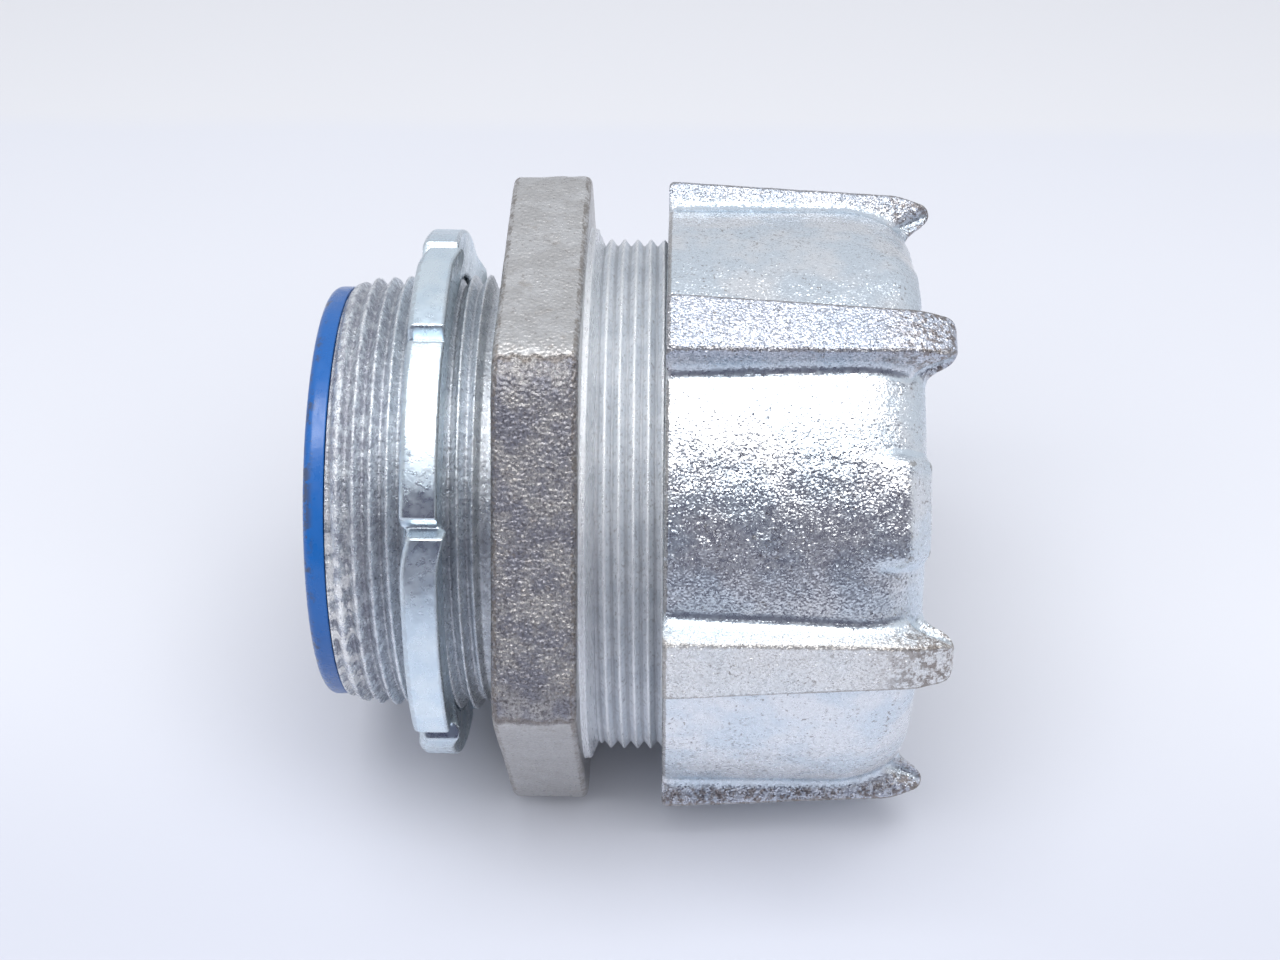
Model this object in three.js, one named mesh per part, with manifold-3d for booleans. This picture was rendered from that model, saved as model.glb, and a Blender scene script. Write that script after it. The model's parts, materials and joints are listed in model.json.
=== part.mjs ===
// Straight liquid-tight connector for 2 inch flexible metal conduit.
// The fitting lies along X: the threaded hub points to -X and the conduit enters from +X.
// Lengths are in millimetres, measured from the hub-side face of the hexagon (x = 0).
// Angles are in degrees about +X, from +Y towards +Z. All screws are right-handed.

import * as THREE from 'three';
import { mergeVertices } from 'three/addons/utils/BufferGeometryUtils.js';
import Module from 'manifold-3d';

const manifold = await Module();
manifold.setup();

const INCH = 25.4;
const RUNNING_GAP = 0.3;

const hub = {
  pitch: INCH / 11.5,
  crestX: -16.975,
  gaugeX: -16.6,
  gaugeRadius: 29.88,
  threadDepth: 1.55,
  taper: 1 / 32,
  endX: -22.0,
  endRadius: 28.55,
  chamferX: -18.5,
  chamferRadius: 29.98,
  threadEndX: -2.2,
  neckRadius: 28.3,
  boreRadius: 25.6,
  grooveX: -10.2,
  grooveWidth: 1.6,
  grooveRadius: 26.3,
};

const hexagon = {
  acrossFlats: 77.8,
  cornerRadius: 8,
  width: 10.6,
  edgeRound: 0.9,
  flatAngle: 30,
};

const collar = {
  radius: 36.66,
  endX: 11.4,
  coneEndX: 12.4,
  edge: 0.3,
};

const gland = {
  pitch: INCH / 14,
  crestX: 12.96,
  crestRadius: 35.32,
  rootRadius: 34.27,
  mouthX: 35.0,
  mouthChamfer: 1.0,
  chamferRadius: 35.42,
  floorX: 19.8,
  cavityRadius: 32.1,
  bevel: 1.5,
};

const liner = {
  tipX: -24.9,
  rimRadius: 28.35,
  rimRound: 1.1,
  wall: 1.3,
  sleeveRadius: 25.3,
  sleeveEndX: -8.3,
  snapX: -9.9,
  snapWidth: 1.0,
  snapHeight: 0.65,
  seatGap: 0.15,
};

const nutPlate = {
  startX: -11.6,
  thickness: 4.8,
  radius: 36.4,
  rimBevel: 0.6,
  rimLimit: 36.5,
  notchHalfWidth: 3.1,
  notchDepth: 2.1,
  toothHeight: 1.1,
  toothLength: 5,
  crestRadius: 30.35,
  rootRadius: 28.8,
};

// The locknut's notches go round unevenly, and two of the lugs were left unbent.
const notches = [
  { angle: 23.5, bent: true },
  { angle: 76.3, bent: true },
  { angle: 107.5, bent: false },
  { angle: 148.0, bent: true },
  { angle: 203.5, bent: true },
  { angle: 256.3, bent: true },
  { angle: 287.5, bent: false },
  { angle: 328.0, bent: true },
];

const cap = {
  startX: 21.1,
  radius: 39.2,
  edge: 0.5,
  domeX: 43.5,
  endX: 53.4,
  endRadius: 34.3,
  threadEndX: 41.0,
  leadIn: 1.5,
  chamberRadius: 34.2,
  chamberEndX: 45.6,
  openingRadius: 31.0,
  flare: 0.8,
  wings: 6,
  wingAngle: 51,
};

const wing = {
  rootRadius: 36.6,
  rootEndX: 46.5,
  edge: 1.0,
  startRadius: 43.35,
  shoulderX: 52.0,
  shoulderRadius: 41.8,
  noseX: 56.2,
  noseRadius: 41.1,
  tipX: 57.0,
  tipRadius: 39.9,
  tipHeight: 1.4,
  undersideX: 53.7,
  undersideRadius: 36.2,
  heelX: 50.5,
  heelRadius: 34.2,
  startWidth: 8.6,
  tipWidth: 6.3,
  draft: 0.22,
};

const pad = {
  startX: 42,
  cornerX: 51.2,
  endX: 53.9,
  endRadius: 36.2,
  innerRadius: 33,
};

// Raised pads at the conduit end of the gland nut, between wings.
const pads = [
  { angle: 91.6, width: 8.6 },
  { angle: 143.1, width: 13.4 },
  { angle: 271.6, width: 8.6 },
  { angle: 323.1, width: 13.4 },
];

const ring = {
  startX: 38.9,
  length: 9,
  innerRadius: 30.6,
  outerRadius: 33.8,
  bevel: 2.4,
};

const ferrule = {
  seatX: 20.1,
  boreRadius: 24.9,
  wall: 0.8,
  skirtRadius: 31.6,
  skirtEndX: 24.5,
  floorThickness: 1.2,
  endX: 36.5,
  ribPitch: 5,
  ribHeight: 0.7,
  ribHalfWidth: 0.9,
  ribCrestX: 25.5,
  ribStartX: 25,
  ribEndX: 35,
};

const ROUND_SIDES = 48;
const SCREW_SIDES = 36;
const OVERCUT = 1;

const radians = THREE.MathUtils.degToRad;
const X = new THREE.Vector3(1, 0, 0);
const Y = new THREE.Vector3(0, 1, 0);
const Z = new THREE.Vector3(0, 0, 1);

// ---------- solids ----------

function solid(geometry) {
  const bare = geometry.clone();
  bare.deleteAttribute('normal');
  bare.deleteAttribute('uv');
  const merged = mergeVertices(bare, 1e-5);
  const mesh = new manifold.Mesh({
    numProp: 3,
    vertProperties: new Float32Array(merged.attributes.position.array),
    triVerts: new Uint32Array(merged.index.array),
  });
  return new manifold.Manifold(mesh);
}

function geometryOf(body) {
  const { vertProperties, triVerts } = body.getMesh();
  const geometry = new THREE.BufferGeometry();
  geometry.setAttribute('position', new THREE.BufferAttribute(vertProperties, 3));
  geometry.setIndex(new THREE.BufferAttribute(triVerts, 1));
  return geometry;
}

function join(bodies) {
  return bodies.reduce((whole, body) => whole.add(body));
}

// A solid of revolution about X from [x, radius] pairs, outer side running towards +X.
function turned(outline) {
  const points = outline.map(([x, radius]) => new THREE.Vector2(radius, x));
  const geometry = new THREE.LatheGeometry(points, ROUND_SIDES);
  const standing = new THREE.Matrix4().makeBasis(Y, X, Z.clone().negate());
  return solid(geometry.applyMatrix4(standing));
}

// A shape drawn in the YZ plane and extruded towards +X from startX.
function extrudedAlongX(shape, startX, options) {
  const geometry = new THREE.ExtrudeGeometry(shape, { bevelEnabled: false, ...options });
  geometry.applyMatrix4(new THREE.Matrix4().makeBasis(Y, Z, X));
  return geometry.translate(startX, 0, 0);
}

// A solid screw along X. The profile is one pitch of the outline as [along, radius] pairs,
// and each pair traces its own helix; `taper` is the radius gained per millimetre of X.
function screw({ profile, pitch, crestX, fromX, toX, taper = 0, gaugeX = 0 }) {
  const firstTurn = Math.floor((fromX - crestX) / pitch) - 1;
  const lastTurn = Math.ceil((toX - crestX) / pitch) + 1;
  const rows = (lastTurn - firstTurn) * SCREW_SIDES;
  const last = profile.length - 1;
  const positions = [];
  for (let row = 0; row <= rows; row += 1) {
    const angle = (2 * Math.PI * row) / SCREW_SIDES;
    for (const [along, radius] of profile) {
      const x = crestX + pitch * (firstTurn + row / SCREW_SIDES) + along;
      const r = radius + taper * (x - gaugeX);
      positions.push(x, r * Math.cos(angle), r * Math.sin(angle));
    }
  }
  const startCentre = positions.length / 3;
  positions.push(crestX + pitch * (firstTurn + 0.5), 0, 0);
  positions.push(crestX + pitch * (lastTurn + 0.5), 0, 0);

  const at = (row, point) => row * profile.length + point;
  const triangles = [];
  const quad = (a, b, c, d) => triangles.push(a, b, c, a, c, d);
  for (let row = 0; row < rows; row += 1) {
    for (let point = 0; point < last; point += 1) {
      quad(at(row, point), at(row + 1, point), at(row + 1, point + 1), at(row, point + 1));
    }
    if (row + SCREW_SIDES < rows) {
      const next = row + SCREW_SIDES;
      quad(at(row, last), at(row + 1, last), at(next + 1, 0), at(next, 0));
    }
  }

  const startLoop = [];
  const endLoop = [];
  for (let step = 0; step <= SCREW_SIDES; step += 1) {
    startLoop.push(at(step, 0));
    endLoop.push(at(rows - SCREW_SIDES + step, last));
  }
  for (let point = last; point > 0; point -= 1) {
    startLoop.push(at(0, point));
    endLoop.push(at(rows, point - 1));
  }
  startLoop.forEach((vertex, i) => {
    const next = startLoop[(i + 1) % startLoop.length];
    triangles.push(startCentre, next, vertex);
  });
  endLoop.forEach((vertex, i) => {
    const next = endLoop[(i + 1) % endLoop.length];
    triangles.push(startCentre + 1, vertex, next);
  });

  const geometry = new THREE.BufferGeometry();
  geometry.setAttribute('position', new THREE.Float32BufferAttribute(positions, 3));
  geometry.setIndex(triangles);
  return solid(geometry);
}

function vThread(pitch, crestRadius, rootRadius) {
  return [[0, crestRadius], [pitch / 2, rootRadius]];
}

// ---------- connector body ----------

function hubScrew() {
  const crest = hub.gaugeRadius;
  const blank = screw({
    profile: vThread(hub.pitch, crest, crest - hub.threadDepth),
    pitch: hub.pitch,
    crestX: hub.crestX,
    fromX: hub.endX,
    toX: hub.threadEndX,
    taper: hub.taper,
    gaugeX: hub.gaugeX,
  });
  const envelope = turned([
    [hub.endX, 0],
    [hub.endX, hub.endRadius],
    [hub.chamferX, hub.chamferRadius],
    [hub.chamferX, crest + OVERCUT],
    [hub.threadEndX, crest + OVERCUT],
    [hub.threadEndX, 0],
  ]);
  return blank.intersect(envelope);
}

function glandScrew() {
  const startX = (collar.endX + collar.coneEndX) / 2;
  const blank = screw({
    profile: vThread(gland.pitch, gland.crestRadius, gland.rootRadius),
    pitch: gland.pitch,
    crestX: gland.crestX,
    fromX: startX,
    toX: gland.mouthX,
  });
  const envelope = turned([
    [startX, 0],
    [startX, gland.rootRadius + OVERCUT / 2],
    [collar.coneEndX, gland.crestRadius + OVERCUT],
    [gland.mouthX - gland.mouthChamfer, gland.chamferRadius],
    [gland.mouthX, gland.rootRadius],
    [gland.mouthX, 0],
  ]);
  return blank.intersect(envelope);
}

function hexagonSolid() {
  const { acrossFlats, cornerRadius, width, edgeRound, flatAngle } = hexagon;
  const centreRadius = (acrossFlats / 2 - cornerRadius) / Math.cos(Math.PI / 6);
  const shape = new THREE.Shape();
  for (let corner = 0; corner < 6; corner += 1) {
    const middle = radians(flatAngle + 30 + 60 * corner);
    const y = centreRadius * Math.cos(middle);
    const z = centreRadius * Math.sin(middle);
    shape.absarc(y, z, cornerRadius, middle - Math.PI / 6, middle + Math.PI / 6, false);
  }
  const geometry = extrudedAlongX(shape, edgeRound, {
    depth: width - 2 * edgeRound,
    curveSegments: 5,
    bevelEnabled: true,
    bevelThickness: edgeRound,
    bevelSize: edgeRound,
    bevelOffset: -edgeRound,
    bevelSegments: 2,
  });
  return solid(geometry);
}

function connectorBody() {
  const neck = turned([
    [hub.threadEndX - OVERCUT, 0],
    [hub.threadEndX - OVERCUT, hub.neckRadius],
    [OVERCUT, hub.neckRadius],
    [OVERCUT, 0],
  ]);
  const collarRing = turned([
    [hexagon.width - OVERCUT, 0],
    [hexagon.width - OVERCUT, collar.radius],
    [collar.endX - collar.edge, collar.radius],
    [collar.endX, collar.radius - collar.edge],
    [collar.coneEndX, gland.rootRadius],
    [collar.coneEndX + OVERCUT / 4, gland.rootRadius - OVERCUT / 4],
    [collar.coneEndX + OVERCUT / 4, 0],
  ]);
  const grooveEndX = hub.grooveX + hub.grooveWidth;
  const mouthRadius = gland.cavityRadius + gland.bevel;
  const passage = turned([
    [hub.endX - OVERCUT, 0],
    [hub.endX - OVERCUT, hub.boreRadius],
    [hub.grooveX, hub.boreRadius],
    [hub.grooveX, hub.grooveRadius],
    [grooveEndX, hub.grooveRadius],
    [grooveEndX, hub.boreRadius],
    [gland.floorX, hub.boreRadius],
    [gland.floorX, gland.cavityRadius],
    [gland.mouthX - gland.bevel, gland.cavityRadius],
    [gland.mouthX, mouthRadius],
    [gland.mouthX + OVERCUT, mouthRadius],
    [gland.mouthX + OVERCUT, 0],
  ]);
  const outside = join([hubScrew(), neck, hexagonSolid(), collarRing, glandScrew()]);
  return outside.subtract(passage);
}

// ---------- insulated throat ----------

function insulatedThroat() {
  const boreRadius = liner.sleeveRadius - liner.wall;
  const rimBackX = hub.endX - liner.seatGap;
  const snapRadius = liner.sleeveRadius + liner.snapHeight;
  const snapEndX = liner.snapX + liner.snapWidth;
  const bend = liner.rimRound;
  const cosine = Math.SQRT1_2 * bend;
  return turned([
    [liner.tipX, boreRadius + bend],
    [liner.tipX, liner.rimRadius - bend],
    [liner.tipX + bend - cosine, liner.rimRadius - bend + cosine],
    [liner.tipX + bend, liner.rimRadius],
    [rimBackX, liner.rimRadius],
    [rimBackX, liner.sleeveRadius],
    [liner.snapX, liner.sleeveRadius],
    [liner.snapX, snapRadius],
    [snapEndX, liner.sleeveRadius],
    [liner.sleeveEndX, liner.sleeveRadius],
    [liner.sleeveEndX, boreRadius],
    [liner.tipX + bend, boreRadius],
    [liner.tipX, boreRadius + bend],
  ]);
}

// ---------- locknut ----------

function lugOutline() {
  const { radius, notchHalfWidth, notchDepth } = nutPlate;
  const half = radians(notchHalfWidth);
  const floor = radius - notchDepth;
  const shape = new THREE.Shape();
  notches.forEach(({ angle }, lug) => {
    const notch = radians(angle);
    const after = notches[(lug + 1) % notches.length].angle;
    const next = radians(after > angle ? after : after + 360);
    shape[lug === 0 ? 'moveTo' : 'lineTo'](floor * Math.cos(notch), floor * Math.sin(notch));
    shape.absarc(0, 0, radius, notch + half, next - half, false);
  });
  shape.closePath();
  return shape;
}

// The wedge that bends one end of a lug out of the plate's face. It is drawn in the plane
// of X and the rim, and runs outwards through the lug.
function toothWedge(faceX, angle) {
  const { radius, notchHalfWidth, toothHeight, toothLength, notchDepth } = nutPlate;
  const shape = new THREE.Shape();
  shape.moveTo(0, -OVERCUT / 2);
  shape.lineTo(toothLength, -OVERCUT / 2);
  shape.lineTo(toothLength, 0);
  shape.lineTo(0, toothHeight);
  shape.closePath();
  const depth = 2 * notchDepth;
  const geometry = new THREE.ExtrudeGeometry(shape, { depth, bevelEnabled: false });
  geometry.applyMatrix4(new THREE.Matrix4().makeBasis(Z, X, Y));
  geometry.translate(faceX, radius - depth, radius * Math.sin(radians(notchHalfWidth)));
  return solid(geometry.rotateX(radians(angle)));
}

function locknut() {
  const { startX, thickness, radius, rimBevel, rimLimit, crestRadius, rootRadius } = nutPlate;
  const endX = startX + thickness;
  let plate = solid(extrudedAlongX(lugOutline(), startX, { depth: thickness, curveSegments: 5 }));
  for (const { angle } of notches.filter(({ bent }) => bent)) {
    plate = plate.add(toothWedge(endX, angle)).subtract(toothWedge(startX, angle));
  }
  const rim = turned([
    [startX - OVERCUT, 0],
    [startX - OVERCUT, radius - rimBevel - OVERCUT],
    [startX + rimBevel, radius],
    [startX + rimBevel + rimLimit - radius, rimLimit],
    [endX + 2 * OVERCUT, rimLimit],
    [endX + 2 * OVERCUT, 0],
  ]);
  const thread = screw({
    profile: vThread(hub.pitch, crestRadius + RUNNING_GAP, rootRadius + RUNNING_GAP),
    pitch: hub.pitch,
    crestX: hub.crestX,
    fromX: startX - OVERCUT,
    toX: endX + OVERCUT,
  });
  return plate.intersect(rim).subtract(thread);
}

// ---------- gland nut ----------

function domeOutline() {
  const steps = 4;
  const outline = [];
  for (let step = 0; step <= steps; step += 1) {
    const turn = (Math.PI / 2) * (step / steps);
    outline.push([
      cap.domeX + (cap.endX - cap.domeX) * Math.sin(turn),
      cap.endRadius + (cap.radius - cap.endRadius) * Math.cos(turn),
    ]);
  }
  return outline;
}

function wingSolid(angle) {
  const shape = new THREE.Shape();
  shape.moveTo(cap.startX, wing.rootRadius);
  shape.lineTo(wing.rootEndX, wing.rootRadius);
  shape.lineTo(wing.heelX, wing.heelRadius);
  shape.lineTo(wing.undersideX, wing.undersideRadius);
  shape.lineTo(wing.tipX, wing.tipRadius - wing.tipHeight);
  shape.lineTo(wing.tipX, wing.tipRadius);
  shape.quadraticCurveTo(wing.noseX, wing.noseRadius, wing.shoulderX, wing.shoulderRadius);
  shape.lineTo(cap.startX + wing.edge, wing.startRadius);
  shape.lineTo(cap.startX, wing.startRadius - wing.edge);
  shape.closePath();
  const geometry = new THREE.ExtrudeGeometry(shape, {
    depth: 1,
    bevelEnabled: false,
    curveSegments: 3,
  });
  geometry.translate(0, 0, -0.5);
  const corners = geometry.attributes.position;
  for (let i = 0; i < corners.count; i += 1) {
    const along = (corners.getX(i) - cap.startX) / (wing.tipX - cap.startX);
    const drop = wing.startRadius - corners.getY(i);
    const width = THREE.MathUtils.lerp(wing.startWidth, wing.tipWidth, along) + 2 * wing.draft * drop;
    corners.setZ(i, corners.getZ(i) * width);
  }
  geometry.applyMatrix4(new THREE.Matrix4().makeBasis(X, Z, Y.clone().negate()));
  return solid(geometry.rotateX(radians(angle - 90)));
}

function padRing() {
  return turned([
    [pad.startX, pad.innerRadius],
    [pad.startX, cap.radius],
    [pad.cornerX, cap.radius],
    [pad.endX, pad.endRadius],
    [pad.endX, pad.innerRadius],
    [pad.startX, pad.innerRadius],
  ]);
}

function padSector({ angle, width }) {
  const length = pad.endX - pad.startX + 2 * OVERCUT;
  const height = cap.radius / 2;
  const box = new THREE.BoxGeometry(length, height, width);
  box.translate(pad.startX + length / 2 - OVERCUT, cap.radius + OVERCUT - height / 2, 0);
  return solid(box.rotateX(radians(angle)));
}

function capPassage() {
  const throatX = cap.chamberEndX + cap.chamberRadius - cap.openingRadius;
  const threadRoot = gland.rootRadius + RUNNING_GAP;
  return turned([
    [cap.startX - OVERCUT, 0],
    [cap.startX - OVERCUT, threadRoot + cap.leadIn + OVERCUT],
    [cap.startX + cap.leadIn, threadRoot],
    [cap.startX + cap.leadIn, cap.chamberRadius],
    [cap.chamberEndX, cap.chamberRadius],
    [throatX, cap.openingRadius],
    [cap.endX - cap.flare, cap.openingRadius],
    [cap.endX, cap.openingRadius + cap.flare],
    [pad.endX + OVERCUT, cap.openingRadius + cap.flare],
    [pad.endX + OVERCUT, 0],
  ]);
}

function glandNut() {
  const barrel = turned([
    [cap.startX, 0],
    [cap.startX, cap.radius - cap.edge],
    [cap.startX + cap.edge, cap.radius],
    ...domeOutline(),
    [cap.endX, 0],
  ]);
  const wings = [];
  for (let n = 0; n < cap.wings; n += 1) {
    wings.push(wingSolid(cap.wingAngle + (360 / cap.wings) * n));
  }
  const raised = padRing().intersect(join(pads.map(padSector)));
  const thread = screw({
    profile: vThread(
      gland.pitch,
      gland.crestRadius + RUNNING_GAP,
      gland.rootRadius + RUNNING_GAP,
    ),
    pitch: gland.pitch,
    crestX: gland.crestX,
    fromX: cap.startX - OVERCUT,
    toX: cap.threadEndX,
  });
  const reach = turned([
    [cap.startX - OVERCUT, 0],
    [cap.startX - OVERCUT, cap.radius],
    [cap.threadEndX, cap.radius],
    [cap.threadEndX, 0],
  ]);
  return join([barrel, raised, ...wings]).subtract(thread.intersect(reach)).subtract(capPassage());
}

// ---------- sealing ring ----------

function sealingRing() {
  const endX = ring.startX + ring.length;
  return turned([
    [ring.startX, ring.innerRadius],
    [ring.startX, ring.outerRadius - ring.bevel],
    [ring.startX + ring.bevel, ring.outerRadius],
    [endX - ring.bevel, ring.outerRadius],
    [endX, ring.outerRadius - ring.bevel],
    [endX, ring.innerRadius],
    [ring.startX, ring.innerRadius],
  ]);
}

// ---------- grounding ferrule ----------

function groundingFerrule() {
  const tubeRadius = ferrule.boreRadius + ferrule.wall;
  const floorEndX = ferrule.seatX + ferrule.floorThickness;
  const skirtInside = ferrule.skirtRadius - ferrule.wall;
  const cup = turned([
    [ferrule.seatX, 0],
    [ferrule.seatX, ferrule.skirtRadius],
    [ferrule.skirtEndX, ferrule.skirtRadius],
    [ferrule.skirtEndX, skirtInside],
    [floorEndX, skirtInside],
    [floorEndX, tubeRadius],
    [ferrule.endX, tubeRadius],
    [ferrule.endX, 0],
  ]);
  const sunkRadius = tubeRadius - ferrule.wall / 2;
  const rib = screw({
    profile: [
      [-ferrule.ribHalfWidth, sunkRadius],
      [0, tubeRadius + ferrule.ribHeight],
      [ferrule.ribHalfWidth, sunkRadius],
    ],
    pitch: ferrule.ribPitch,
    crestX: ferrule.ribCrestX,
    fromX: ferrule.ribStartX,
    toX: ferrule.ribEndX,
  });
  const reach = turned([
    [ferrule.ribStartX, 0],
    [ferrule.ribStartX, ferrule.skirtRadius],
    [ferrule.ribEndX, ferrule.skirtRadius],
    [ferrule.ribEndX, 0],
  ]);
  const bore = turned([
    [ferrule.seatX - OVERCUT, 0],
    [ferrule.seatX - OVERCUT, ferrule.boreRadius],
    [ferrule.endX + OVERCUT, ferrule.boreRadius],
    [ferrule.endX + OVERCUT, 0],
  ]);
  return cup.add(rib.intersect(reach)).subtract(bore);
}

// ---------- assembly ----------

const finishes = {
  castZinc: { color: 0xa3a29d, roughness: 0.55, metalness: 0.85 },
  brightZinc: { color: 0xc9ced3, roughness: 0.35, metalness: 0.95 },
  smoothZinc: { color: 0xc3d2da, roughness: 0.22, metalness: 1.0 },
  bluePlastic: { color: 0x1a5cb4, roughness: 0.25, metalness: 0.0 },
  blackPlastic: { color: 0x25282b, roughness: 0.5, metalness: 0.0 },
  plainSteel: { color: 0xb6bcc0, roughness: 0.3, metalness: 1.0 },
};

function piece(name, body, finish) {
  const material = new THREE.MeshStandardMaterial({ ...finishes[finish], flatShading: true });
  const mesh = new THREE.Mesh(geometryOf(body), material);
  mesh.name = name;
  return mesh;
}

const fitting = new THREE.Group();
fitting.add(
  piece('connector_body', connectorBody(), 'castZinc'),
  piece('insulated_throat', insulatedThroat(), 'bluePlastic'),
  piece('locknut', locknut(), 'smoothZinc'),
  piece('gland_nut', glandNut(), 'brightZinc'),
  piece('sealing_ring', sealingRing(), 'blackPlastic'),
  piece('grounding_ferrule', groundingFerrule(), 'plainSteel'),
);

// The origin lies on the axis, halfway between the liner's tip and the wing tips.
fitting.position.x = -(liner.tipX + wing.tipX) / 2;

export default fitting;
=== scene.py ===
import json
import math

import bpy
import numpy as np
from mathutils import Matrix, Vector


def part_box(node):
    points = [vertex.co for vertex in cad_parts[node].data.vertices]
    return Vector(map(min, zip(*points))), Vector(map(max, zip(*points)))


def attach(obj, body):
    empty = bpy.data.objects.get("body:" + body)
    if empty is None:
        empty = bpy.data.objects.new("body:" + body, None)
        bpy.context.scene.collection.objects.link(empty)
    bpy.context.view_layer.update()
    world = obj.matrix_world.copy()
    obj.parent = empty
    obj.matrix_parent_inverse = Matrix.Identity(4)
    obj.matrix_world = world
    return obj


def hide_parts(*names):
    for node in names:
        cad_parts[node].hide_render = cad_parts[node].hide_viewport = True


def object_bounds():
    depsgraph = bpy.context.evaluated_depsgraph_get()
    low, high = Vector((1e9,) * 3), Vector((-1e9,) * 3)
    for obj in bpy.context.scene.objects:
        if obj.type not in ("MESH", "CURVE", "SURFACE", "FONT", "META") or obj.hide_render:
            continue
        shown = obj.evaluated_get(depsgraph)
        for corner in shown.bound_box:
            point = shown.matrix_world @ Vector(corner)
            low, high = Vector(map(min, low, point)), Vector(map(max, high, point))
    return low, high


# A straight liquid-tight conduit connector, lying on a pale table. Every piece is built as
# a ring of sections around the fitting's axis: lengths are in millimetres from the
# hub-side face of the hexagon, and angles are in radians about +X, from +Y towards +Z.

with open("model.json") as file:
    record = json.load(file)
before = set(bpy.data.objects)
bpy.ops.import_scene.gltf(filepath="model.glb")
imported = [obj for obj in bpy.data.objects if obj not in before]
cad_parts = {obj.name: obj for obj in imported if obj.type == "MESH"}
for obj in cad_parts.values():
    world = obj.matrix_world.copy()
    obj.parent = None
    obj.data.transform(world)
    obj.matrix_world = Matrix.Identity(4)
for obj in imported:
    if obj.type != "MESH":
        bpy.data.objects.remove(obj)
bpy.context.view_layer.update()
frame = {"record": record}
record = frame["record"]

MM = 0.001
TURN = 2 * math.pi


def mount_x(name):
    return next(m["pos_m"][0] for m in record["mounts"] if m["name"] == name)


def pitch_of(joint):
    ratios = {c["joint"]: c["ratio"] for c in record["behaviour"]["couplings"]}
    return ratios[joint] * TURN / MM


SHOULDER_M = mount_x("hub_shoulder")


def node_mm(node):
    """A CAD node's box as (lowest, highest) corners in millimetres from the shoulder."""
    low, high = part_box(node)
    shift = Vector((SHOULDER_M, 0, 0))
    return (low - shift) / MM, (high - shift) / MM


BODY_LOW, BODY_HIGH = node_mm("connector_body")
LINER_LOW, LINER_HIGH = node_mm("insulated_throat")
LOCKNUT_LOW, _ = node_mm("locknut")
CAP_LOW, CAP_HIGH = node_mm("gland_nut")
RING_LOW, RING_HIGH = node_mm("sealing_ring")
FERRULE_LOW, FERRULE_HIGH = node_mm("grounding_ferrule")

# ---------- sizes ----------

HUB_PITCH = pitch_of("locknut_travel")
HUB_CREST_X = -16.975
HUB_GAUGE_X = -16.6
HUB_GAUGE_RADIUS = 29.88
HUB_TAPER = 1 / 32
HUB_DEPTH = 1.55
HUB_END_RADIUS, HUB_END_SLOPE = 28.55, 0.38
HUB_THREAD_END = -2.2
HUB_NECK_RADIUS = 28.3
HUB_BORE = 25.6
HUB_BATTERED_X = -14.5
GROOVE_START, GROOVE_END, GROOVE_RADIUS = -10.2, -8.6, 26.3

HEX_WIDTH = 10.6
HEX_FLAT = BODY_HIGH.z
HEX_CORNER = 8.0
HEX_FLAT_ANGLE = math.radians(30)

COLLAR_RADIUS = 36.66
COLLAR_END, CONE_END = 11.4, 12.4

GLAND_PITCH = pitch_of("sealing_ring_travel")
GLAND_CREST_X = 12.96
GLAND_CREST, GLAND_ROOT = 35.32, 34.27
GLAND_MOUTH = BODY_HIGH.x
CAVITY_RADIUS, CAVITY_FLOOR = 32.1, 19.8
MOUTH_BEVEL = 1.5

CAP_START = CAP_LOW.x
CAP_RADIUS = 39.2
CAP_DOME = 43.5
CAP_DOME_M = SHOULDER_M + CAP_DOME * MM
CAP_END = (mount_x("gland_nut_end_face") - SHOULDER_M) / MM
CAP_TIP = CAP_HIGH.x
CAP_END_RADIUS = 34.3
CAP_FACE_EDGE = 32.8
CAP_FOOT = 33.4
CAP_THREAD_END = 41.0
CAP_OPENING = 31.0
CAP_MOUTH_BEVEL = 1.5
CAP_OPENING_BEVEL = 0.8
CAP_CHAMBER, CAP_CHAMBER_END = 34.2, 45.6
WING_ANGLE = math.radians(51)
WING_TOP = 43.35
WING_HALF_START, WING_HALF_TIP = 4.3, 3.15
WING_TIP_ROUNDING = 1.3
# The far ends of a wing and of a raised pad, as (x, radius, rounding, arc points) corners.
WING_END = [
    (CAP_DOME, 42.2, 0, 1),
    (52.6, 41.75, 7.0, 10),
    (CAP_TIP, 40.2, 1.6, 8),
    (CAP_TIP, 38.3, 1.6, 8),
    (53.7, 36.1, 1.6, 6),
    (CAP_END, CAP_FOOT, 0, 1),
]
PAD_END = [
    (CAP_DOME, CAP_RADIUS, 0, 1),
    (51.2, CAP_RADIUS, 1.5, 6),
    (53.9, 36.2, 0.8, 6),
    (53.9, 34.2, 0.3, 3),
    (CAP_END, CAP_FOOT, 0, 1),
]
# Each raised pad: its angle in degrees, half width and side slope in millimetres, and rise.
PADS = [
    (91.6, 4.3, 4.0, 0.45),
    (143.1, 6.7, 1.6, 1),
    (271.6, 4.3, 4.0, 0.45),
    (323.1, 6.7, 1.6, 1),
]
THREAD_GAP = 0.3

LOCKNUT_RADIUS = 36.4
LOCKNUT_START = LOCKNUT_LOW.x
LOCKNUT_THICKNESS = (mount_x("locknut_clamp_face") - SHOULDER_M) / MM - LOCKNUT_START
LOCKNUT_MINOR, LOCKNUT_MAJOR = 29.1, 30.65
NOTCH_HALF, NOTCH_DEPTH = 1.25, 2.1
# The finely divided stretch to each side of a notch, in degrees.
NOTCH_WINDOW = 5
# Each notch as its angle in degrees and how far the lug end after it is bent, in millimetres.
NOTCHES = [
    (23.5, 1.25),
    (76.3, 1.0),
    (107.5, 0.15),
    (148.0, 1.1),
    (203.5, 1.25),
    (256.3, 1.1),
    (287.5, 0.15),
    (328.0, 1.1),
]

LINER_BORE, LINER_SLEEVE = 24.0, 25.3
SNAP_START, SNAP_END, SNAP_RADIUS = -9.9, -8.9, 25.95

RING_BORE, RING_BEVEL = 30.6, 2.4

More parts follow.
